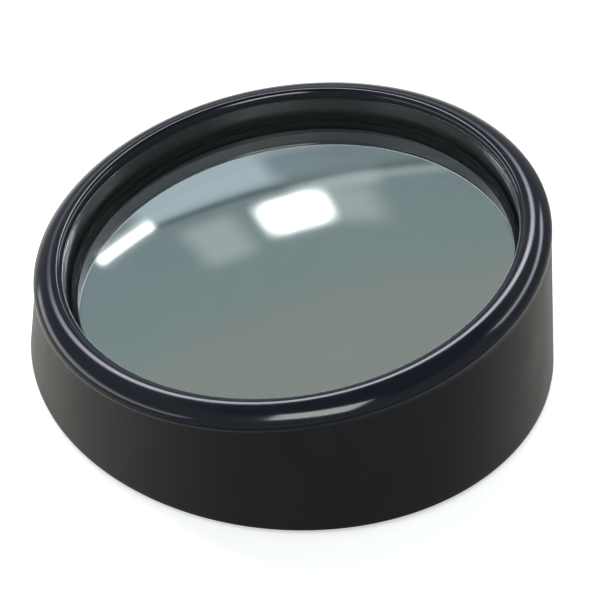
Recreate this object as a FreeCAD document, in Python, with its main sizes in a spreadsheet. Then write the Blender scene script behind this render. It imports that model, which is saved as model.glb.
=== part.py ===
import FreeCAD, Part
import os
import re

import Sketcher

# Convex stick-on mirror in a round wedge housing.
#
# The row frame stands on the release liner: Z is zero at the liner's underside, below the centre of the
# housing's foot. The mirror leans by face_tilt, so the housing is thick towards +X and thin towards -X.
# The "face frame" is the mirror's own leaning frame: its origin is the centre of the rim's widest circle
# and its Z axis is the mirror's axis.

DRIVING_SIZES = {
    # housing, outside
    "foot_radius": 25.4,
    "foot_fillet": 0.35,
    "rim_radius": 24.75,
    "face_tilt": 10.0,
    "face_height": 12.42,
    "face_shift": -0.63,
    # rim section, from the groove under the bead to the lip over the mirror
    "bead_foot": 0.45,
    "bead_step": 0.09,
    "bead_curve": 0.64,
    "edge_inset": 0.25,
    "edge_rise": 0.5,
    "edge_curve": 0.88,
    "dome_curve": 3.455,
    "crest_rise": 1.45,
    "lip_fillet": 0.85,
    # housing, mirror recess and hollow underside
    "bore_radius": 21.75,
    "bore_draft": 0.12,
    "web_thickness": 1.8,
    "wall_thickness": 2.2,
    "plate_ledge": 0.9,
    "rib_thickness": 1.2,
    "rib_reach": 22.9,
    # mirror glass and its layers
    "glass_radius": 21.4,
    "glass_thickness": 1.8,
    "glass_curve": 200.0,
    "glass_edge_drop": 1.2,
    "glass_bevel": 0.2,
    "coating_radius": 21.1,
    "coating_thickness": 0.04,
    "paint_thickness": 0.08,
    # foam tape that holds the glass
    "tape_radius": 12.0,
    "tape_adhesive": 0.06,
    # base plate
    "plate_thickness": 1.5,
    "plate_clearance": 0.1,
    "plate_chamfer": 0.3,
    "seat_margin": 0.35,
    # mounting pad under the base plate
    "pad_radius": 23.0,
    "pad_recess": 0.6,
    "pad_foam": 1.0,
    "pad_adhesive": 0.06,
    "liner_thickness": 0.1,
    "tab_radius": 3.6,
    "tab_reach": 20.9,
}
RIBS = 3
MATHS = {"sqrt", "sin", "cos"}

# Levels of the stack in the row frame.
ADHESIVE_LEVEL = "liner_thickness"
FOAM_LEVEL = "(%s + pad_adhesive)" % ADHESIVE_LEVEL
UPPER_ADHESIVE_LEVEL = "(%s + pad_foam)" % FOAM_LEVEL
PLATE_LEVEL = "(%s + pad_adhesive)" % UPPER_ADHESIVE_LEVEL
PLATE_TOP = "(%s + plate_thickness)" % PLATE_LEVEL
FOOT_LEVEL = "(%s - pad_recess)" % PLATE_LEVEL
FACE_LEVEL = "(%s + face_height)" % FOOT_LEVEL
PLATE_SEAT_RADIUS = "(pad_radius + seat_margin)"

# Levels of the mirror in the face frame. Its layers are concentric spheres, each at a depth below the
# front of the glass, and the painted edge of the last one rests on the housing's web.
CURVE_CENTRE = "(0 - glass_edge_drop - sqrt(glass_curve^2 - glass_radius^2))"
PAINT_DEPTH = "(glass_thickness + coating_thickness)"
MIRROR_DEPTH = "(%s + paint_thickness)" % PAINT_DEPTH
TAPE_DEPTH = "(%s + tape_adhesive)" % MIRROR_DEPTH
WEB_TOP = "(%s + sqrt((glass_curve - %s)^2 - coating_radius^2))" % (CURVE_CENTRE, MIRROR_DEPTH)
WEB_UNDERSIDE = "(%s - web_thickness)" % WEB_TOP

doc = FreeCAD.newDocument("WedgeMirror")
sheet = doc.addObject("Spreadsheet::Sheet", "Sizes")


def fill_sheet():
    for row, (alias, value) in enumerate(DRIVING_SIZES.items(), start=1):
        sheet.set("A%d" % row, alias)
        sheet.set("B%d" % row, str(value))
        sheet.setAlias("B%d" % row, alias)
    doc.recompute()


def bound(formula):
    """Turn a formula in plain size names into an expression that reads the sheet."""
    return re.sub(
        r"[a-z][a-z_]+",
        lambda word: word.group() if word.group() in MATHS else "Sizes." + word.group(),
        formula,
    )


def number(formula):
    """The value that a formula has with the sheet's present sizes."""
    value = sheet.evalExpression(bound(formula))
    return float(getattr(value, "Value", value))


def origin_plane(body, role):
    return next(feature for feature in body.Origin.OriginFeatures if feature.Role == role)


def new_body(label):
    body = doc.addObject("PartDesign::Body", label)
    body.Label = label
    return body


def new_sketch(body, name, role, level=None):
    """A sketch on one of the body's own origin planes, lifted along the plane's normal."""
    sketch = body.newObject("Sketcher::SketchObject", name)
    sketch.AttachmentSupport = [(origin_plane(body, role), "")]
    sketch.MapMode = "FlatFace"
    if level:
        sketch.setExpression("AttachmentOffset.Base.z", bound(level))
    return sketch


LEAN_IN_ROW = FreeCAD.Vector(0, -1, 0)
LEAN_IN_UPRIGHT_SKETCH = FreeCAD.Vector(0, 0, 1)


def lean(item, placement, axis, offsets):
    """Turn a placement by the face's tilt and bind its coordinates to formulas."""
    turn = FreeCAD.Rotation(axis, number("face_tilt"))
    setattr(item, placement, FreeCAD.Placement(FreeCAD.Vector(), turn))
    item.setExpression(placement + ".Rotation.Angle", bound("face_tilt"))
    for coordinate, formula in offsets.items():
        item.setExpression("%s.Base.%s" % (placement, coordinate), bound(formula))


def face_profile_sketch(body, name):
    """A sketch in the upright plane through both axes, with its own Y axis on the mirror's axis."""
    sketch = new_sketch(body, name, "XZ_Plane")
    lean(sketch, "AttachmentOffset", LEAN_IN_UPRIGHT_SKETCH, {"x": "face_shift", "y": FACE_LEVEL})
    return sketch


def face_plane_sketch(body, name, level):
    """A sketch square to the mirror's axis, at a level of the face frame."""
    sketch = new_sketch(body, name, "XY_Plane")
    place = {
        "x": "face_shift - %s * sin(face_tilt)" % level,
        "z": "%s + %s * cos(face_tilt)" % (FACE_LEVEL, level),
    }
    lean(sketch, "AttachmentOffset", LEAN_IN_ROW, place)
    return sketch


def place_in_face_frame(body):
    lean(body, "Placement", LEAN_IN_ROW, {"x": "face_shift", "z": FACE_LEVEL})


def constrain(sketch, kind, target, formula):
    """Add one dimension that reads the sheet."""
    size = sketch.addConstraint(Sketcher.Constraint(kind, *target, number(formula)))
    if re.search("[a-z]", formula):
        sketch.setExpression("Constraints[%d]" % size, bound(formula))


def add_circle(sketch, radius, centre_y=None):
    """A circle centred on the sketch's origin, or at a height on its Y axis."""
    centre = FreeCAD.Vector(0, number(centre_y or "0"), 0)
    circle = sketch.addGeometry(Part.Circle(centre, FreeCAD.Vector(0, 0, 1), number(radius)))
    if centre_y:
        sketch.addConstraint(Sketcher.Constraint("PointOnObject", circle, 3, -2))
        constrain(sketch, "DistanceY", (circle, 3), centre_y)
    else:
        sketch.addConstraint(Sketcher.Constraint("Coincident", circle, 3, -1, 1))
    constrain(sketch, "Radius", (circle,), radius)


def arc_through(start, end, radius, turn):
    """The minor arc from start to end; turn is 1 when it runs anticlockwise and -1 when clockwise."""
    chord = end - start
    reach = (radius**2 - chord.Length**2 / 4) ** 0.5
    centre = (start + end) * 0.5 + FreeCAD.Vector(-chord.y, chord.x, 0).normalize() * reach * turn
    first, last = (start, end) if turn > 0 else (end, start)
    circle = Part.Circle(centre, FreeCAD.Vector(0, 0, 1), radius)
    return Part.ArcOfCircle(circle, circle.parameter(first), circle.parameter(last))


def add_outline(sketch, corners):
    """A closed outline. A corner is (x, y), reached by a line, or (x, y, radius, turn), reached by an arc."""
    points = [FreeCAD.Vector(number(corner[0]), number(corner[1]), 0) for corner in corners]
    edges = []
    for index, corner in enumerate(corners):
        before, here = points[index - 1], points[index]
        if len(corner) == 2:
            edges.append((sketch.addGeometry(Part.LineSegment(before, here)), 1, 2))
            continue
        radius, turn = corner[2:]
        arc = sketch.addGeometry(arc_through(before, here, number(radius), turn))
        edges.append((arc, 1, 2) if turn > 0 else (arc, 2, 1))
    for index, corner in enumerate(corners):
        edge, start, end = edges[index]
        last_edge, _, last_end = edges[index - 1]
        sketch.addConstraint(Sketcher.Constraint("Coincident", last_edge, last_end, edge, start))
        constrain(sketch, "DistanceX", (edge, end), corner[0])
        constrain(sketch, "DistanceY", (edge, end), corner[1])
        if len(corner) > 2:
            constrain(sketch, "Radius", (edge,), corner[2])


def turn_sketch(body, kind, name, sketch):
    """Revolve a sketch about its own Y axis, to add material or to cut it."""
    turned = body.newObject("PartDesign::" + kind, name)
    turned.Profile = sketch
    turned.ReferenceAxis = (sketch, ["V_Axis"])
    turned.Angle = 360
    doc.recompute()
    return turned


def raise_sketch(body, kind, name, sketch, length, downward=False):
    """Pad or pocket a sketch by a length that reads the sheet."""
    raised = body.newObject("PartDesign::" + kind, name)
    raised.Profile = sketch
    raised.setExpression("Length", bound(length))
    raised.Reversed = downward
    doc.recompute()
    return raised


def loft_sketches(body, kind, name, lower, upper):
    """A ruled loft from a level circle to a leaning one."""
    loft = body.newObject("PartDesign::" + kind, name)
    loft.Profile = lower
    loft.Sections = [upper]
    loft.Ruled = True
    doc.recompute()
    return loft


def round_edges(feature, radius, level):
    """Names of a feature's circular edges that have this radius and lie at this height."""
    found = []
    for index, edge in enumerate(feature.Shape.Edges, start=1):
        if getattr(edge.Curve, "TypeId", "") != "Part::GeomCircle":
            continue
        if abs(edge.Curve.Radius - radius) < 0.01 and abs(edge.Curve.Center.z - level) < 0.01:
            found.append("Edge%d" % index)
    return found


def expect_less(label, before, after):
    """A cut that points away from the solid removes nothing and shows no error, so the volumes are compared."""
    if not after.Shape.Volume < before.Shape.Volume - 1:
        raise RuntimeError(label + " removed nothing")


# ---------------------------------------------------------------- housing


def add_wall(body):
    """The outside of the wedge: level round foot below, leaning round rim above, straight lines between."""
    foot = new_sketch(body, "foot_circle", "XY_Plane", FOOT_LEVEL)
    add_circle(foot, "foot_radius")
    rim = face_plane_sketch(body, "wall_top_circle", "(0 - bead_foot)")
    add_circle(rim, "rim_radius - bead_step")
    return loft_sketches(body, "AdditiveLoft", "wall", foot, rim)


def add_rim(body):
    """The rounded bead that stands a little proud of the wall and rises to the crest round the mirror."""
    sketch = face_profile_sketch(body, "rim_profile")
    add_outline(
        sketch,
        [
            ("bore_radius - 2", "0 - bead_foot"),
            ("rim_radius - bead_step", "0 - bead_foot"),
            ("rim_radius", "0", "bead_curve", 1),
            ("rim_radius - edge_inset", "edge_rise", "edge_curve", 1),
            ("bore_radius + lip_fillet", "crest_rise", "dome_curve", 1),
            ("bore_radius - 2", "crest_rise"),
        ],
    )
    return turn_sketch(body, "Revolution", "rim", sketch)


def cut_mirror_recess(body, solid):
    """The round recess that the glass lies in, from the lip's fillet down to the web."""
    sketch = face_profile_sketch(body, "recess_profile")
    above = "crest_rise + 1"
    add_outline(
        sketch,
        [
            ("0", WEB_TOP),
            ("bore_radius - bore_draft", WEB_TOP),
            ("bore_radius", "crest_rise - lip_fillet"),
            ("bore_radius + lip_fillet", "crest_rise", "lip_fillet", -1),
            ("bore_radius + lip_fillet", above),
            ("0", above),
        ],
    )
    recess = turn_sketch(body, "Groove", "mirror_recess", sketch)
    expect_less("mirror recess", solid, recess)
    return recess


def cut_hollow(body, solid):
    """The core under the web, which keeps the wall of the wedge even."""
    lower = new_sketch(body, "hollow_foot_circle", "XY_Plane", PLATE_TOP)
    add_circle(lower, "%s - plate_ledge" % PLATE_SEAT_RADIUS)
    upper = face_plane_sketch(body, "hollow_top_circle", WEB_UNDERSIDE)
    add_circle(upper, "rim_radius - wall_thickness")
    hollow = loft_sketches(body, "SubtractiveLoft", "hollow", lower, upper)
    expect_less("hollow", solid, hollow)
    return hollow


def web_face(feature):
    """Name of the flat face that the web turns to the hollow."""
    centre = FreeCAD.Vector(
        number("face_shift - %s * sin(face_tilt)" % WEB_UNDERSIDE),
        0,
        number("%s + %s * cos(face_tilt)" % (FACE_LEVEL, WEB_UNDERSIDE)),
    )
    faces = enumerate(feature.Shape.Faces, start=1)
    return next("Face%d" % index for index, face in faces if face.CenterOfMass.distanceToPoint(centre) < 0.1)


def add_ribs(body, solid):
    """Upright bars across the hollow, from the base plate's seat to the web, which they stiffen."""
    for index in range(RIBS):
        sketch = new_sketch(body, "rib_outline_%d" % index, "XY_Plane", PLATE_TOP)
        sketch.setExpression("AttachmentOffset.Rotation.Angle", "%g" % (180 / RIBS * index))
        ends, sides = ("0 - rib_reach", "rib_reach"), ("0 - rib_thickness / 2", "rib_thickness / 2")
        add_outline(
            sketch, [(ends[0], sides[0]), (ends[1], sides[0]), (ends[1], sides[1]), (ends[0], sides[1])]
        )
        rib = body.newObject("PartDesign::Pad", "rib_%d" % index)
        rib.Profile = sketch
        rib.Type = "UpToFace"
        rib.UpToFace = (solid, [web_face(solid)])
        doc.recompute()
    return body.Tip


def cut_plate_seat(body, solid):
    """The stepped opening in the foot for the base plate and the pad."""
    sketch = new_sketch(body, "plate_seat_circle", "XY_Plane", FOOT_LEVEL)
    add_circle(sketch, PLATE_SEAT_RADIUS)
    depth = "pad_recess + plate_thickness"
    seat = raise_sketch(body, "Pocket", "plate_seat", sketch, depth, downward=True)
    expect_less("plate seat", solid, seat)
    return seat


def round_foot(body, solid):
    """The small radius on the outside of the foot."""
    fillet = body.newObject("PartDesign::Fillet", "foot_rounding")
    fillet.Base = (solid, round_edges(solid, number("foot_radius"), number(FOOT_LEVEL)))
    fillet.setExpression("Radius", bound("foot_fillet"))
    doc.recompute()
    return fillet


def make_housing():
    body = new_body("housing")
    add_wall(body)
    rim = add_rim(body)
    recess = cut_mirror_recess(body, rim)
    seat = cut_plate_seat(body, recess)
    hollow = cut_hollow(body, seat)
    ribbed = add_ribs(body, hollow)
    round_foot(body, ribbed)
    return body


# ---------------------------------------------------------------- mirror and the tape that holds it


def layer_height(depth, radius):
    """Height in the face frame of the concentric surface at this depth, at this radius from the axis."""
    return "%s + sqrt((glass_curve - %s)^2 - (%s)^2)" % (CURVE_CENTRE, depth, radius)


def make_curved_layer(label, depth, thickness, radius):
    """One concentric layer of the mirror, from its depth below the front of the glass."""
    far = "(%s + %s)" % (depth, thickness)
    body = new_body(label)
    sketch = new_sketch(body, label + "_profile", "XZ_Plane")
    add_outline(
        sketch,
        [
            ("0", layer_height(far, "0"), "glass_curve - " + far, 1),
            ("0", layer_height(depth, "0")),
            (radius, layer_height(depth, radius), "glass_curve - " + depth, -1),
            (radius, layer_height(far, radius)),
        ],
    )
    turn_sketch(body, "Revolution", label + "_turned", sketch)
    place_in_face_frame(body)
    return body


def make_glass():
    """The convex glass: a bent disc of even thickness with a small ground bevel round its front."""
    body = new_body("mirror_glass")
    sketch = new_sketch(body, "glass_profile", "XZ_Plane")
    flat = "(glass_radius - glass_bevel)"
    add_outline(
        sketch,
        [
            ("0", layer_height("glass_thickness", "0"), "glass_curve - glass_thickness", 1),
            ("0", layer_height("0", "0")),
            (flat, layer_height("0", flat), "glass_curve", -1),
            ("glass_radius", layer_height("0", flat) + " - glass_bevel"),
            ("glass_radius", layer_height("glass_thickness", "glass_radius")),
        ],
    )
    turn_sketch(body, "Revolution", "glass_turned", sketch)
    place_in_face_frame(body)
    return body


def make_tape_core():
    """The foam of the tape: flat on its lower adhesive, pressed to the hollow of the mirror's back above."""
    body = new_body("glass_tape_foam")
    sketch = new_sketch(body, "tape_foam_profile", "XZ_Plane")
    bottom = "%s + tape_adhesive" % WEB_TOP
    add_outline(
        sketch,
        [
            ("0", bottom),
            ("0", layer_height(TAPE_DEPTH, "0")),
            ("tape_radius", layer_height(TAPE_DEPTH, "tape_radius"), "glass_curve - " + TAPE_DEPTH, -1),
            ("tape_radius", bottom),
        ],
    )
    turn_sketch(body, "Revolution", "tape_foam_turned", sketch)
    place_in_face_frame(body)
    return body


def make_disc(label, radius, level, thickness, leaning=False):
    """A flat round layer, level in the row frame or leaning in the face frame."""
    body = new_body(label)
    sketch = new_sketch(body, label + "_circle", "XY_Plane", level)
    add_circle(sketch, radius)
    raise_sketch(body, "Pad", label + "_pad", sketch, thickness)
    if leaning:
        place_in_face_frame(body)
    return body


# ---------------------------------------------------------------- base plate and pad


def make_base_plate():
    """The flat lid in the housing's foot, chamfered where it enters its seat."""
    body = make_disc(
        "base_plate", "%s - plate_clearance" % PLATE_SEAT_RADIUS, PLATE_LEVEL, "plate_thickness"
    )
    disc = body.Tip
    radius = number(PLATE_SEAT_RADIUS) - number("plate_clearance")
    chamfer = body.newObject("PartDesign::Chamfer", "plate_edge")
    chamfer.Base = (disc, round_edges(disc, radius, number(PLATE_TOP)))
    chamfer.setExpression("Size", bound("plate_chamfer"))
    doc.recompute()
    return body


def make_liner():
    """The release liner under the pad, with a round pull tab that stays inside the housing's outline."""
    body = make_disc("release_liner", "pad_radius", "0", "liner_thickness")
    sketch = new_sketch(body, "tab_circle", "XY_Plane")
    add_circle(sketch, "tab_radius", centre_y="tab_reach")
    raise_sketch(body, "Pad", "pull_tab", sketch, "liner_thickness")
    return body


def make_parts():
    return [
        make_housing(),
        make_glass(),
        make_curved_layer("reflective_coating", "glass_thickness", "coating_thickness", "coating_radius"),
        make_curved_layer("backing_paint", PAINT_DEPTH, "paint_thickness", "coating_radius"),
        make_curved_layer("glass_tape_upper_adhesive", MIRROR_DEPTH, "tape_adhesive", "tape_radius"),
        make_tape_core(),
        make_disc("glass_tape_lower_adhesive", "tape_radius", WEB_TOP, "tape_adhesive", leaning=True),
        make_base_plate(),
        make_disc("pad_upper_adhesive", "pad_radius", UPPER_ADHESIVE_LEVEL, "pad_adhesive"),
        make_disc("pad_foam", "pad_radius", FOAM_LEVEL, "pad_foam"),
        make_disc("pad_lower_adhesive", "pad_radius", ADHESIVE_LEVEL, "pad_adhesive"),
        make_liner(),
    ]


def check(parts):
    """Stop on any failed feature or bad solid before anything is written."""
    for item in doc.Objects:
        if "Invalid" in item.State or "Error" in item.State:
            raise RuntimeError("%s failed: %s" % (item.Name, item.State))
    for part in parts:
        shape = part.Shape
        if shape.isNull() or not shape.isValid() or len(shape.Solids) != 1:
            raise RuntimeError(part.Label + " is not one valid solid")


def main():
    fill_sheet()
    parts = make_parts()
    doc.recompute()
    check(parts)
    os.makedirs("parts", exist_ok=True)
    for part in parts:
        part.Shape.exportStep("parts/%s.step" % part.Label)
        print("%-28s %10.2f mm3" % (part.Label, part.Shape.Volume))


main()
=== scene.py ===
import math

import bpy
from mathutils import Matrix, Vector


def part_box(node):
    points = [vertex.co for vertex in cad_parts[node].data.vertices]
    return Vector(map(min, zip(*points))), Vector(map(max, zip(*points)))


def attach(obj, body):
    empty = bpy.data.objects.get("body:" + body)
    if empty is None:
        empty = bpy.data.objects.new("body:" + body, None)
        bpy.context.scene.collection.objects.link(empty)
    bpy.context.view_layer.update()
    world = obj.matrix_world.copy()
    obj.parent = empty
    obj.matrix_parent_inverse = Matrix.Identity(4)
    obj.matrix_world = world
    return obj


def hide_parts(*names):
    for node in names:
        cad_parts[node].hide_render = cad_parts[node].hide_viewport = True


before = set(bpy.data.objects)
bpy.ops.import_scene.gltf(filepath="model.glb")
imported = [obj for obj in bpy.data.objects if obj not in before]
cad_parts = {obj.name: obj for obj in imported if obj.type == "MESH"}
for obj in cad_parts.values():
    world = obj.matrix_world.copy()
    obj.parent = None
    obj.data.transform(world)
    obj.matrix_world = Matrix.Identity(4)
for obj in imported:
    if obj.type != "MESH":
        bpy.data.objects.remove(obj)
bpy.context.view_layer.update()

MM = 0.001

# The leaning frame of the mirror and its rim. Heights given "in the face frame" are along FACE_AXIS
# from FACE_CENTRE; the foot and everything under the base plate is level instead.
FACE_TILT = math.radians(10.0)
FACE_AXIS = Vector((-math.sin(FACE_TILT), 0.0, math.cos(FACE_TILT)))
FACE_ASIDE = Vector((math.cos(FACE_TILT), 0.0, math.sin(FACE_TILT)))
FACE_BACK = Vector((0.0, 1.0, 0.0))
FOOT_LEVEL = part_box("housing")[0].z
FACE_CENTRE = Vector((-0.63 * MM, 0.0, FOOT_LEVEL + 12.42 * MM))


# ---------------------------------------------------------------- camera

CAMERA_ELEVATION = math.radians(41.8)
CAMERA_ROLL = math.radians(2.86)
CAMERA_DISTANCE = 292.2 * MM
CAMERA_ASIDE = 0.71 * MM
CAMERA_RISE = 4.2 * MM
LENS = 180.0
SENSOR = 36.0


def add_camera():
    """The long lens looks down from the front, turned a little clockwise about its own axis."""
    sin_e, cos_e = math.sin(CAMERA_ELEVATION), math.cos(CAMERA_ELEVATION)
    sin_r, cos_r = math.sin(CAMERA_ROLL), math.cos(CAMERA_ROLL)
    level_right, level_up = Vector((1, 0, 0)), Vector((0, sin_e, cos_e))
    back = Vector((0, -cos_e, sin_e))
    right = cos_r * level_right + sin_r * level_up
    up = cos_r * level_up - sin_r * level_right
    place = right * CAMERA_ASIDE + up * CAMERA_RISE + back * CAMERA_DISTANCE
    place.z += FOOT_LEVEL
    data = bpy.data.cameras.new("camera")
    data.lens = LENS
    data.sensor_width = SENSOR
    data.clip_start = 0.01
    data.clip_end = 50.0
    camera = bpy.data.objects.new("camera", data)
    turn = Matrix((right, up, back)).transposed().to_4x4()
    camera.matrix_world = Matrix.Translation(place) @ turn
    bpy.context.scene.collection.objects.link(camera)
    bpy.context.scene.camera = camera


# ---------------------------------------------------------------- node helpers


class Nodes:
    """A node tree, with short ways to add and join its nodes."""

    def __init__(self, tree, place):
        self.tree = tree
        self.place = place

    def add(self, kind, inputs=None, **settings):
        node = self.tree.nodes.new(kind)
        for name, value in settings.items():
            setattr(node, name, value)
        for name, value in (inputs or {}).items():
            self.give(node.inputs[name], value)
        return node

    def give(self, socket, value):
        if isinstance(value, bpy.types.NodeSocket):
            self.tree.links.new(value, socket)
        else:
            socket.default_value = value

    def math(self, operation, *values):
        node = self.add("ShaderNodeMath", operation=operation)
        for socket, value in zip(node.inputs, values):
            self.give(socket, value)
        return node.outputs[0]

    def noise(self, scale, detail=2.0, roughness=0.5):
        inputs = {"Vector": self.place, "Scale": scale, "Detail": detail, "Roughness": roughness}
        return self.add("ShaderNodeTexNoise", inputs).outputs["Fac"]

    def map(self, value, low, high, to_low=0.0, to_high=1.0, kind="LINEAR"):
        """Carry a value from one range to another, held at the ends."""
        inputs = {
            "Value": value,
            "From Min": low,
            "From Max": high,
            "To Min": to_low,
            "To Max": to_high,
        }
        node = self.add("ShaderNodeMapRange", inputs, clamp=True, interpolation_type=kind)
        return node.outputs["Result"]

    def band(self, value, low, high, soft):
        """1 between low and high and 0 outside, with a soft change at both."""
        rise = self.map(value, low - soft, low + soft, kind="SMOOTHSTEP")
        fall = self.map(value, high - soft, high + soft, 1.0, 0.0, kind="SMOOTHSTEP")
        return self.math("MULTIPLY", rise, fall)

    def mix(self, factor, first, second):
        """A colour between two colours."""
        node = self.add("ShaderNodeMix", data_type="RGBA")
        sockets = (node.inputs[0], node.inputs[6], node.inputs[7])
        for socket, value in zip(sockets, (factor, first, second)):
            self.give(socket, value)
        return node.outputs[2]

    def bump(self, height, distance, strength):
        inputs = {"Height": height, "Distance": distance, "Strength": strength}
        return self.add("ShaderNodeBump", inputs).outputs["Normal"]


class Material(Nodes):
    """A new material, laid out in object coordinates."""

    def __init__(self, name):
        self.material = bpy.data.materials.new(name)
        self.material.use_nodes = True
        super().__init__(self.material.node_tree, None)
        self.shader = self.tree.nodes["Principled BSDF"]
        self.place = self.add("ShaderNodeTexCoord").outputs["Object"]

    def face_place(self):
        """Height along the mirror's axis and distance from it, in the face frame."""
        axis = tuple(FACE_AXIS)
        inputs = {0: self.place, 1: tuple(FACE_CENTRE)}
        from_face = self.add("ShaderNodeVectorMath", inputs, operation="SUBTRACT").outputs[0]
        dot = self.add("ShaderNodeVectorMath", {0: from_face, 1: axis}, operation="DOT_PRODUCT")
        cross = self.add("ShaderNodeVectorMath", {0: from_face, 1: axis}, operation="CROSS_PRODUCT")
        length = self.add("ShaderNodeVectorMath", {0: cross.outputs[0]}, operation="LENGTH")
        return dot.outputs["Value"], length.outputs["Value"]

    def blend(self, factor, first, second):
        """A number between two numbers."""
        return self.add("ShaderNodeMix", {0: factor, 2: first, 3: second}).outputs[0]

    def finish(self, **values):
        for name, value in values.items():
            self.give(self.shader.inputs[name.replace("_", " ")], value)
        return self.material


# ---------------------------------------------------------------- materials


def black_housing():
    """Moulded black plastic: a polished rim, a satin wall with a fine grain and a satin bore; the bore's
    lighter grey is painted light and the rim's navy tint is a painted reflection.
    """
    m = Material("black_housing")
    height, radius = m.face_place()
    rim = m.map(height, -0.47 * MM, -0.42 * MM)
    below_lip = m.map(height, 0.45 * MM, 0.75 * MM, 1.0, 0.0)
    bore = m.math("MULTIPLY", m.map(radius, 21.9 * MM, 22.1 * MM, 1.0, 0.0), below_lip)
    cloud = m.noise(260.0, 3.0)
    grain = m.noise(9000.0, 2.0, 0.6)
    wall_rough = m.map(cloud, 0.3, 0.7, 0.36, 0.42)
    rim_rough = m.map(cloud, 0.3, 0.7, 0.08, 0.13)
    bore_rough = m.map(cloud, 0.3, 0.7, 0.34, 0.42)
    rough = m.blend(bore, m.blend(rim, wall_rough, rim_rough), bore_rough)
    wall_tone = m.mix(cloud, (0.0050, 0.0058, 0.0060, 1), (0.0080, 0.0088, 0.0090, 1))
    # The rim's black carries a navy tint, a painted reflection of the bluish room.
    rim_black_and_painted_navy = m.mix(cloud, (0.0060, 0.0066, 0.0110, 1), (0.0085, 0.0092, 0.0150, 1))
    # The bore's grey is far lighter than the same plastic elsewhere: painted light on the bore.
    bore_painted_light_tone = m.mix(cloud, (0.030, 0.033, 0.032, 1), (0.044, 0.048, 0.046, 1))
    smooth = m.math("MAXIMUM", rim, bore)
    grained = m.math("MULTIPLY", grain, m.map(smooth, 0.0, 1.0, 1.0, 0.06))
    return m.finish(
        Base_Color=m.mix(bore, m.mix(rim, wall_tone, rim_black_and_painted_navy), bore_painted_light_tone),
        Roughness=rough,
        Normal=m.bump(grained, 0.02 * MM, 0.5),
        IOR=1.5,
    )


def clear_glass():
    """Float glass with a breath of green and faint wipe marks."""
    m = Material("mirror_glass")
    smear = m.noise(140.0, 4.0, 0.6)
    return m.finish(
        Base_Color=(0.95, 0.985, 0.975, 1),
        Roughness=m.map(smear, 0.45, 0.75, 0.0, 0.02),
        IOR=1.52,
        Transmission_Weight=1.0,
    )


def ground_edge():
    """The ground edge of the glass, blackened; its dark colour also stands as painted shade for the
    crevice between the glass and the bore.
    """
    m = Material("glass_edge")
    grain = m.noise(4000.0, 3.0, 0.6)
    return m.finish(
        # Near black: a blackened edge, and painted shade for the crevice round the glass.
        Base_Color=m.mix(grain, (0.018, 0.020, 0.023, 1), (0.028, 0.031, 0.034, 1)),
        Roughness=m.map(grain, 0.3, 0.7, 0.62, 0.74),
        Specular_IOR_Level=0.15,
    )


def silvering():
    """The bright metal film on the back of the glass, a little cloudy."""
    m = Material("reflective_coating")
    cloud = m.noise(90.0, 4.0, 0.6)
    return m.finish(
        Base_Color=m.mix(cloud, (0.77, 0.79, 0.79, 1), (0.86, 0.875, 0.87, 1)),
        Metallic=1.0,
        Roughness=m.map(cloud, 0.3, 0.7, 0.015, 0.035),
    )


def plain(name, low, high, roughness, scale=900.0, depth=0.01):
    """A matte material with a soft grain of its own."""
    m = Material(name)
    grain = m.noise(scale, 4.0, 0.6)
    return m.finish(
        Base_Color=m.mix(grain, low, high),
        Roughness=m.map(grain, 0.3, 0.7, roughness - 0.06, roughness + 0.06),
        Normal=m.bump(grain, depth * MM, 0.6),
    )


# ---------------------------------------------------------------- turned and lofted meshes

AROUND = 384
SHARP_ANGLE = math.radians(32.0)


def face_ring(radius, height):
    """A circle square to the mirror's axis, in the face frame, sizes in millimetres."""
    centre = FACE_CENTRE + FACE_AXIS * height * MM
    if radius == 0:
        return [centre]
    angles = [2 * math.pi * k / AROUND for k in range(AROUND)]
    return [centre + (FACE_ASIDE * math.cos(a) + FACE_BACK * math.sin(a)) * radius * MM for a in angles]


def level_ring(radius, height):
    """A level circle about the row frame's Z, at this height above the floor, in millimetres."""
    if radius == 0:
        return [Vector((0, 0, height * MM))]
    angles = [2 * math.pi * k / AROUND for k in range(AROUND)]
    return [Vector((math.cos(a) * radius, math.sin(a) * radius, height)) * MM for a in angles]


def between(first, second, steps):
    """Rings on the straight lines from one ring to another, both ends left out."""
    return [[p.lerp(q, k / steps) for p, q in zip(first, second)] for k in range(1, steps)]


def skin(rings):
    """Vertices and faces through a list of rings; a ring of one point closes the end to a fan."""
    points, starts, faces = [], [], []
    for ring in rings:
        starts.append(len(points))
        points.extend(ring)
    for low in range(len(rings) - 1):
        a, b = starts[low], starts[low + 1]
        for k in range(AROUND):
            n = (k + 1) % AROUND
            if len(rings[low]) == 1:
                faces.append((a, b + n, b + k))
            elif len(rings[low + 1]) == 1:
                faces.append((a + k, a + n, b))
            else:
                faces.append((a + k, a + n, b + n, b + k))
    return points, faces


def add_piece(name, node, material, parts):
    """A mesh object that stands for a CAD node. parts is a list of (points, faces)."""
    points, faces = [], []
    for part_points, part_faces in parts:
        start = len(points)
        points.extend(part_points)
        faces.extend(tuple(start + i for i in face) for face in part_faces)
    mesh = bpy.data.meshes.new(name)
    mesh.from_pydata([tuple(p) for p in points], [], faces)
    mesh.materials.append(material)
    mesh.shade_smooth()
    mesh.set_sharp_from_angle(angle=SHARP_ANGLE)
    piece = bpy.data.objects.new(name, mesh)
    bpy.context.scene.collection.objects.link(piece)
    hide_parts(node)
    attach(piece, "root")
    return piece


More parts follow.
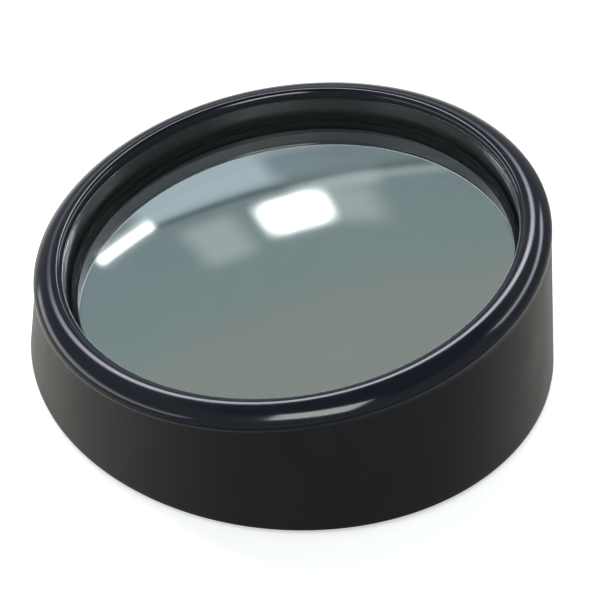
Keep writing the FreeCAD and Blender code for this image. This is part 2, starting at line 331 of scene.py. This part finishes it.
def arc(start, end, radius, steps):
    """Points on the outward-bulging arc between two (r, z) points, the end left out."""
    (r0, z0), (r1, z1) = start, end
    half = math.hypot(r1 - r0, z1 - z0) / 2
    reach = math.sqrt(radius * radius - half * half)
    middle_r, middle_z = (r0 + r1) / 2, (z0 + z1) / 2
    across_r, across_z = (z0 - z1) / (2 * half), (r1 - r0) / (2 * half)
    centre_r, centre_z = middle_r - reach * across_r, middle_z - reach * across_z
    first = math.atan2(z0 - centre_z, r0 - centre_r)
    last = math.atan2(z1 - centre_z, r1 - centre_r)
    turn = (last - first + math.pi) % (2 * math.pi) - math.pi
    angles = [first + turn * k / steps for k in range(steps)]
    return [(centre_r + radius * math.cos(t), centre_z + radius * math.sin(t)) for t in angles]


# ---------------------------------------------------------------- housing

FOOT_RADIUS = 25.4
FOOT_FILLET = 0.35
RIM_RADIUS = 24.75
BEAD_FOOT = -0.45
BEAD_STEP = 0.09
BEAD_CURVE = 0.64
EDGE_INSET = 0.25
EDGE_RISE = 0.5
EDGE_CURVE = 0.88
DOME_CURVE = 3.455
CREST_RISE = 1.45
LIP_FILLET = 0.85
BORE_RADIUS = 21.75
BORE_DRAFT = 0.12
WEB_THICKNESS = 1.8
WALL_THICKNESS = 2.2
PLATE_LEDGE = 0.9
PLATE_SEAT_RADIUS = 23.35
RIB_HALF = 0.6
RIB_REACH = 22.9
RIB_BITE = 0.3
STRAIGHT_STEPS = 8
WALL_STEPS = 24
HOLLOW_STEPS = 12

GLASS_RADIUS = 21.4
GLASS_THICKNESS = 1.8
GLASS_CURVE = 200.0
GLASS_EDGE_DROP = 1.2
GLASS_BEVEL = 0.2
COATING_RADIUS = 21.1
COATING_THICKNESS = 0.04
PAINT_THICKNESS = 0.08
DOME_STEPS = 48
CURVE_CENTRE = -GLASS_EDGE_DROP - math.sqrt(GLASS_CURVE**2 - GLASS_RADIUS**2)


def layer_height(depth, radius):
    """Face-frame height of the spherical surface at this depth behind the front of the glass."""
    return CURVE_CENTRE + math.sqrt((GLASS_CURVE - depth) ** 2 - radius**2)


MIRROR_DEPTH = GLASS_THICKNESS + COATING_THICKNESS + PAINT_THICKNESS
WEB_TOP = layer_height(MIRROR_DEPTH, COATING_RADIUS)
WEB_UNDERSIDE = WEB_TOP - WEB_THICKNESS


def rim_profile():
    """From the middle of the web up the bore, over the lip and crest, and down to the groove."""
    bore_foot = (BORE_RADIUS - BORE_DRAFT, WEB_TOP)
    bore_top = (BORE_RADIUS, CREST_RISE - LIP_FILLET)
    crest = (BORE_RADIUS + LIP_FILLET, CREST_RISE)
    edge_top = (RIM_RADIUS - EDGE_INSET, EDGE_RISE)
    widest = (RIM_RADIUS, 0.0)
    groove = (RIM_RADIUS - BEAD_STEP, BEAD_FOOT)
    parts = [k / STRAIGHT_STEPS for k in range(STRAIGHT_STEPS)]
    web = [(bore_foot[0] * t, WEB_TOP) for t in parts]
    rise_r, rise_z = bore_top[0] - bore_foot[0], bore_top[1] - bore_foot[1]
    bore = [(bore_foot[0] + rise_r * t, bore_foot[1] + rise_z * t) for t in parts]
    return (
        web
        + bore
        + arc(bore_top, crest, LIP_FILLET, 20)
        + arc(crest, edge_top, DOME_CURVE, 20)
        + arc(edge_top, widest, EDGE_CURVE, 14)
        + arc(widest, groove, BEAD_CURVE, 10)
        + [groove]
    )


def housing_shell():
    """The one-piece shell round its whole section: rim, wall, foot, plate seat, hollow and web."""
    foot, plate_top = FOOT_LEVEL / MM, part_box("base_plate")[1].z / MM
    rings = [face_ring(r, z) for r, z in rim_profile()]
    rounding = []
    for k in range(STRAIGHT_STEPS + 1):
        t = math.pi / 2 * k / STRAIGHT_STEPS
        radius = FOOT_RADIUS - FOOT_FILLET + FOOT_FILLET * math.cos(t)
        rounding.append((radius, foot + FOOT_FILLET - FOOT_FILLET * math.sin(t)))
    wall_foot = level_ring(*rounding[0])
    rings += between(rings[-1], wall_foot, WALL_STEPS)
    rings += [level_ring(r, z) for r, z in rounding]
    rings += [
        level_ring(PLATE_SEAT_RADIUS, foot),
        level_ring(PLATE_SEAT_RADIUS, plate_top),
        level_ring(PLATE_SEAT_RADIUS - PLATE_LEDGE, plate_top),
    ]
    hollow_top = face_ring(RIM_RADIUS - WALL_THICKNESS, WEB_UNDERSIDE)
    rings += between(rings[-1], hollow_top, HOLLOW_STEPS)
    rings += [hollow_top, face_ring(0, WEB_UNDERSIDE)]
    rings.reverse()
    return skin(rings)


def crossing_bars():
    """Three upright bars that cross in the middle of the hollow, as one six-armed prism."""
    outline = []
    for arm in range(6):
        middle, corner = math.radians(60 * arm), math.radians(60 * arm + 30)
        along = Vector((math.cos(middle), math.sin(middle)))
        across = Vector((-math.sin(middle), math.cos(middle)))
        outline.append(along * RIB_REACH - across * RIB_HALF)
        outline.append(along * RIB_REACH + across * RIB_HALF)
        outline.append(Vector((math.cos(corner), math.sin(corner))) * RIB_HALF / math.sin(math.pi / 6))
    web_point = FACE_CENTRE + FACE_AXIS * (WEB_UNDERSIDE + RIB_BITE) * MM
    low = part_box("base_plate")[1].z
    bottom = [Vector((p.x * MM, p.y * MM, low)) for p in outline]
    top = []
    for p in bottom:
        rise = (web_point - p).dot(FACE_AXIS) / FACE_AXIS.z
        top.append(p + Vector((0, 0, rise)))
    count = len(outline)
    sides = [(k, (k + 1) % count, count + (k + 1) % count, count + k) for k in range(count)]
    caps = [tuple(reversed(range(count))), tuple(range(count, 2 * count))]
    return bottom + top, sides + caps


def make_housing():
    parts = [housing_shell(), crossing_bars()]
    add_piece("housing_shell", "housing", black_housing(), parts)


# ---------------------------------------------------------------- mirror


def dome_rings(depth, radius, steps):
    """Rings over a spherical surface of the mirror, from its middle to this radius."""
    radii = [radius * k / steps for k in range(steps + 1)]
    return [face_ring(r, layer_height(depth, r)) for r in radii]


def make_glass():
    """The disc, with its bevel and its side as the ground edge."""
    flat = GLASS_RADIUS - GLASS_BEVEL
    front = dome_rings(0.0, flat, DOME_STEPS)
    edge_level = layer_height(0.0, flat) - GLASS_BEVEL
    bevel = [face_ring(GLASS_RADIUS, edge_level)]
    back = dome_rings(GLASS_THICKNESS, GLASS_RADIUS, DOME_STEPS)
    back.reverse()
    rings = front + bevel + back
    rings.reverse()
    disc = add_piece("glass_disc", "mirror_glass", clear_glass(), [skin(rings)])
    disc.data.materials.append(ground_edge())
    edge_start = (len(back) - 1) * AROUND
    for face in disc.data.polygons[edge_start : edge_start + 2 * AROUND]:
        face.material_index = 1


# The coating bites this far into the glass, so that no air shows between the two.
BITE = 0.003


def make_coating():
    front = dome_rings(GLASS_THICKNESS - BITE, COATING_RADIUS, DOME_STEPS)
    back = dome_rings(GLASS_THICKNESS + COATING_THICKNESS, COATING_RADIUS, DOME_STEPS)
    back.reverse()
    rings = front + back
    rings.reverse()
    add_piece("silver_film", "reflective_coating", silvering(), [skin(rings)])


# ---------------------------------------------------------------- foam

TAPE_RADIUS = 12.0
TAPE_ADHESIVE = 0.06
# The share of its radius by which a foam disc swells halfway up its cut side.
FOAM_SWELL = 0.04 / 12.0
FOAM_PORES = 2600.0


def bulging_side(first, last, steps):
    """Rings up the cut side of a foam disc, which swells a little between its two films."""
    rings = []
    for k in range(steps + 1):
        swell = 1 + FOAM_SWELL * math.sin(math.pi * k / steps)
        ring = [p.lerp(q, k / steps) for p, q in zip(first, last)]
        centre = sum(ring, Vector()) / len(ring)
        rings.append([centre + (p - centre) * swell for p in ring])
    return rings


def make_pad_foam():
    low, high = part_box("pad_foam")
    radius, bottom, top = high.x / MM, low.z / MM, high.z / MM
    side = bulging_side(level_ring(radius, bottom), level_ring(radius, top), 8)
    foam = plain("pad_foam", (0.012, 0.012, 0.013, 1), (0.035, 0.035, 0.036, 1), 0.9, FOAM_PORES, 0.05)
    rings = [level_ring(0, bottom)] + side + [level_ring(0, top)]
    piece = add_piece("foam_pad", "pad_foam", foam, [skin(rings)])


def make_tape_foam():
    depth = MIRROR_DEPTH + TAPE_ADHESIVE
    bottom = WEB_TOP + TAPE_ADHESIVE
    dome = dome_rings(depth, TAPE_RADIUS, 24)
    dome.reverse()
    side = bulging_side(face_ring(TAPE_RADIUS, bottom), dome[0], 6)
    foam = plain("tape_foam", (0.75, 0.74, 0.70, 1), (0.86, 0.85, 0.82, 1), 0.9, FOAM_PORES, 0.05)
    rings = [face_ring(0, bottom)] + side + dome[1:]
    piece = add_piece("foam_tape", "glass_tape_foam", foam, [skin(rings)])


# ---------------------------------------------------------------- layers that keep the CAD shape


def paint_nodes():
    glue_low, glue_high = (0.55, 0.54, 0.48, 1), (0.66, 0.65, 0.58, 1)
    paint_low, paint_high = (0.10, 0.10, 0.11, 1), (0.14, 0.14, 0.15, 1)
    plate_low, plate_high = (0.014, 0.014, 0.016, 1), (0.022, 0.022, 0.024, 1)
    liner_low, liner_high = (0.50, 0.03, 0.03, 1), (0.58, 0.045, 0.04, 1)
    materials = {
        "backing_paint": plain("backing_paint", paint_low, paint_high, 0.6),
        "base_plate": plain("black_plate", plate_low, plate_high, 0.5),
        "release_liner": plain("liner_film", liner_low, liner_high, 0.35, 400.0),
    }
    for name in (
        "glass_tape_upper_adhesive",
        "glass_tape_lower_adhesive",
        "pad_upper_adhesive",
        "pad_lower_adhesive",
    ):
        materials[name] = plain(name, glue_low, glue_high, 0.3)
    for name, material in materials.items():
        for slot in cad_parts[name].material_slots:
            slot.material = material


# ---------------------------------------------------------------- stage and light

FLOOR_HALF = 3.0
# The floor lies this far under the liner, so that the two faces are never in one plane.
FLOOR_GAP = 0.02 * MM


def add_floor():
    m = Material("floor")
    cloud = m.noise(3.0, 2.0)
    m.finish(
        Base_Color=m.mix(cloud, (0.86, 0.86, 0.86, 1), (0.88, 0.88, 0.88, 1)),
        Roughness=0.9,
        Emission_Color=(1, 1, 1, 1),
        Emission_Strength=0.55,
    )
    h = FLOOR_HALF
    mesh = bpy.data.meshes.new("floor")
    z = -FLOOR_GAP
    mesh.from_pydata([(-h, -h, z), (h, -h, z), (h, h, z), (-h, h, z)], [], [(0, 1, 2, 3)])
    mesh.materials.append(m.material)
    floor = bpy.data.objects.new("floor", mesh)
    floor.visible_glossy = False
    bpy.context.scene.collection.objects.link(floor)


def direction(azimuth, elevation):
    """Unit vector seen from the mirror; azimuth 0 is straight back and 90 is to the right."""
    a, e = math.radians(azimuth), math.radians(elevation)
    return Vector((math.sin(a) * math.cos(e), math.cos(a) * math.cos(e), math.sin(e)))


def add_soft_light(name, azimuth, elevation, distance, width, height, radiance):
    """A rectangular area light aimed at the mirror, given its brightness rather than its power."""
    data = bpy.data.lights.new(name, "AREA")
    data.shape = "RECTANGLE"
    data.size = width
    data.size_y = height
    data.energy = radiance * math.pi * width * height
    light = bpy.data.objects.new(name, data)
    towards = direction(azimuth, elevation)
    aim = towards.to_track_quat("Z", "Y").to_matrix().to_4x4()
    light.matrix_world = Matrix.Translation(FACE_CENTRE + towards * distance) @ aim
    bpy.context.scene.collection.objects.link(light)


class Room(Nodes):
    """The soft surroundings that the mirror and the rim show, by azimuth and elevation in degrees."""

    def __init__(self):
        world = bpy.data.worlds.new("room")
        world.use_nodes = True
        super().__init__(world.node_tree, None)
        self.place = self.add("ShaderNodeTexCoord").outputs["Generated"]
        split = self.add("ShaderNodeSeparateXYZ", {0: self.place}).outputs
        self.azimuth = self.math("DEGREES", self.math("ARCTAN2", split["X"], split["Y"]))
        self.elevation = self.math("DEGREES", self.math("ARCSINE", split["Z"]))
        bpy.context.scene.world = world

    def towards(self, azimuth, elevation):
        """Cosine of the angle from a direction."""
        inputs = {0: self.place, 1: tuple(direction(azimuth, elevation))}
        return self.add("ShaderNodeVectorMath", inputs, operation="DOT_PRODUCT").outputs["Value"]

    def tones(self, stops):
        """Colour by elevation, from a list of (degrees, colour)."""
        node = self.add("ShaderNodeValToRGB", {0: self.map(self.elevation, -90.0, 90.0)})
        ramp = node.color_ramp
        while len(ramp.elements) < len(stops):
            ramp.elements.new(0.5)
        for element, (degrees, colour) in zip(ramp.elements, stops):
            element.position = (degrees + 90.0) / 180.0
            element.color = (*colour, 1.0)
        return node.outputs["Color"]

    def patch(self, base, colour, azimuths, elevations, soft, slope):
        """Lay a soft-edged patch over the colour so far; slope leans it as azimuth grows."""
        middle = sum(azimuths) / 2
        lean = self.math("MULTIPLY", self.math("SUBTRACT", self.azimuth, middle), slope)
        level = self.math("SUBTRACT", self.elevation, lean)
        inside = self.math(
            "MULTIPLY", self.band(self.azimuth, *azimuths, soft), self.band(level, *elevations, soft)
        )
        return self.mix(inside, base, (*colour, 1.0))

    def halo(self, base, colour, centre, near, far, soft):
        """Lay a soft ring over the colour so far, between two angles from a centre, faint low down."""
        strength = self.map(self.elevation, 22.0, 46.0, 0.08, 1.0)
        angle = self.math("DEGREES", self.math("ARCCOSINE", self.towards(*centre)))
        inside = self.math("MULTIPLY", self.band(angle, near, far, soft), strength)
        return self.mix(inside, base, (*colour, 1.0))


# Wall and ceiling, as (elevation, colour). The warm middle is what the front of the mirror shows.
ROOM_TONES = (
    (-90, (0.20, 0.21, 0.21)),
    (0, (0.35, 0.37, 0.38)),
    (22, (0.21, 0.265, 0.285)),
    (30, (0.22, 0.275, 0.29)),
    (41, (0.235, 0.29, 0.295)),
    (44, (0.27, 0.295, 0.275)),
    (52, (0.27, 0.295, 0.275)),
    (62, (0.10, 0.105, 0.12)),
    (90, (0.10, 0.105, 0.12)),
)
TABLE_DIM = (0.15, 0.15, 0.15, 1)
TABLE_BRIGHT = (1.0, 0.99, 0.92, 1)

# Each patch is (colour, azimuths, elevations, softness of the edge, slope), a later one over an earlier.
ROOM_PATCHES = (
    # bright areas to the left and right, which only the rim shows
    ((3.0, 3.1, 3.2), (-125.0, -50.0), (11.0, 19.0), 2.5, -0.39),
    ((5.0, 5.2, 5.6), (30.0, 78.0), (35.0, 42.0), 2.0, 0.52),
    # light areas and a bluish one at the back of the mirror, and a veil left of the window
    ((0.46, 0.55, 0.60), (-23.5, -14.6), (22.0, 30.2), 0.9, 0.0),
    ((0.36, 0.42, 0.44), (-14.8, -11.0), (22.0, 27.2), 1.0, 0.0),
    ((0.23, 0.29, 0.33), (-14.8, -11.5), (27.2, 29.4), 0.7, 0.0),
    ((0.40, 0.46, 0.465), (-22.0, -18.6), (31.9, 36.5), 0.9, 0.0),
    # a dark arc and a light one, with a lighter stretch
    ((0.11, 0.14, 0.15), (-23.0, -3.0), (30.4, 31.05), 0.35, 0.04),
    ((0.40, 0.47, 0.48), (-13.0, 3.0), (31.7, 32.3), 0.5, 0.06),
    ((0.46, 0.53, 0.54), (-14.5, -9.0), (31.2, 32.6), 0.8, 0.0),
    # a veil right of the window, the window and the bright strip
    ((0.40, 0.455, 0.45), (-12.9, -9.6), (32.4, 36.4), 1.2, 0.3),
    ((5.0, 5.1, 5.1), (-16.8, -13.1), (32.4, 35.3), 1.0, 0.0),
    ((2.4, 2.5, 2.5), (-27.2, -22.9), (29.9, 30.9), 0.3, -0.27),
)


def add_room():
    r = Room()
    # Below the horizon the table is bright behind the object, a little to the left, and dim in front.
    table = r.mix(r.map(r.towards(-25.0, 0.0), -0.5, 0.9), TABLE_DIM, TABLE_BRIGHT)
    colour = r.mix(r.map(r.elevation, -12.0, -4.0), table, r.tones(ROOM_TONES))
    colour = r.halo(colour, (10.0, 10.4, 11.6), centre=(-17.0, 39.0), near=22.0, far=29.0, soft=2.0)
    for patch in ROOM_PATCHES:
        colour = r.patch(colour, *patch)
    r.give(r.tree.nodes["Background"].inputs["Color"], colour)


def light_the_scene():
    add_soft_light(
        "key", azimuth=-170.0, elevation=60.0, distance=1.6, width=0.75, height=0.42, radiance=8.0
    )


# ---------------------------------------------------------------- build

add_camera()
make_housing()
make_glass()
make_coating()
make_pad_foam()
make_tape_foam()
paint_nodes()
add_floor()
add_room()
light_the_scene()
bpy.context.scene.view_settings.view_transform = "Standard"
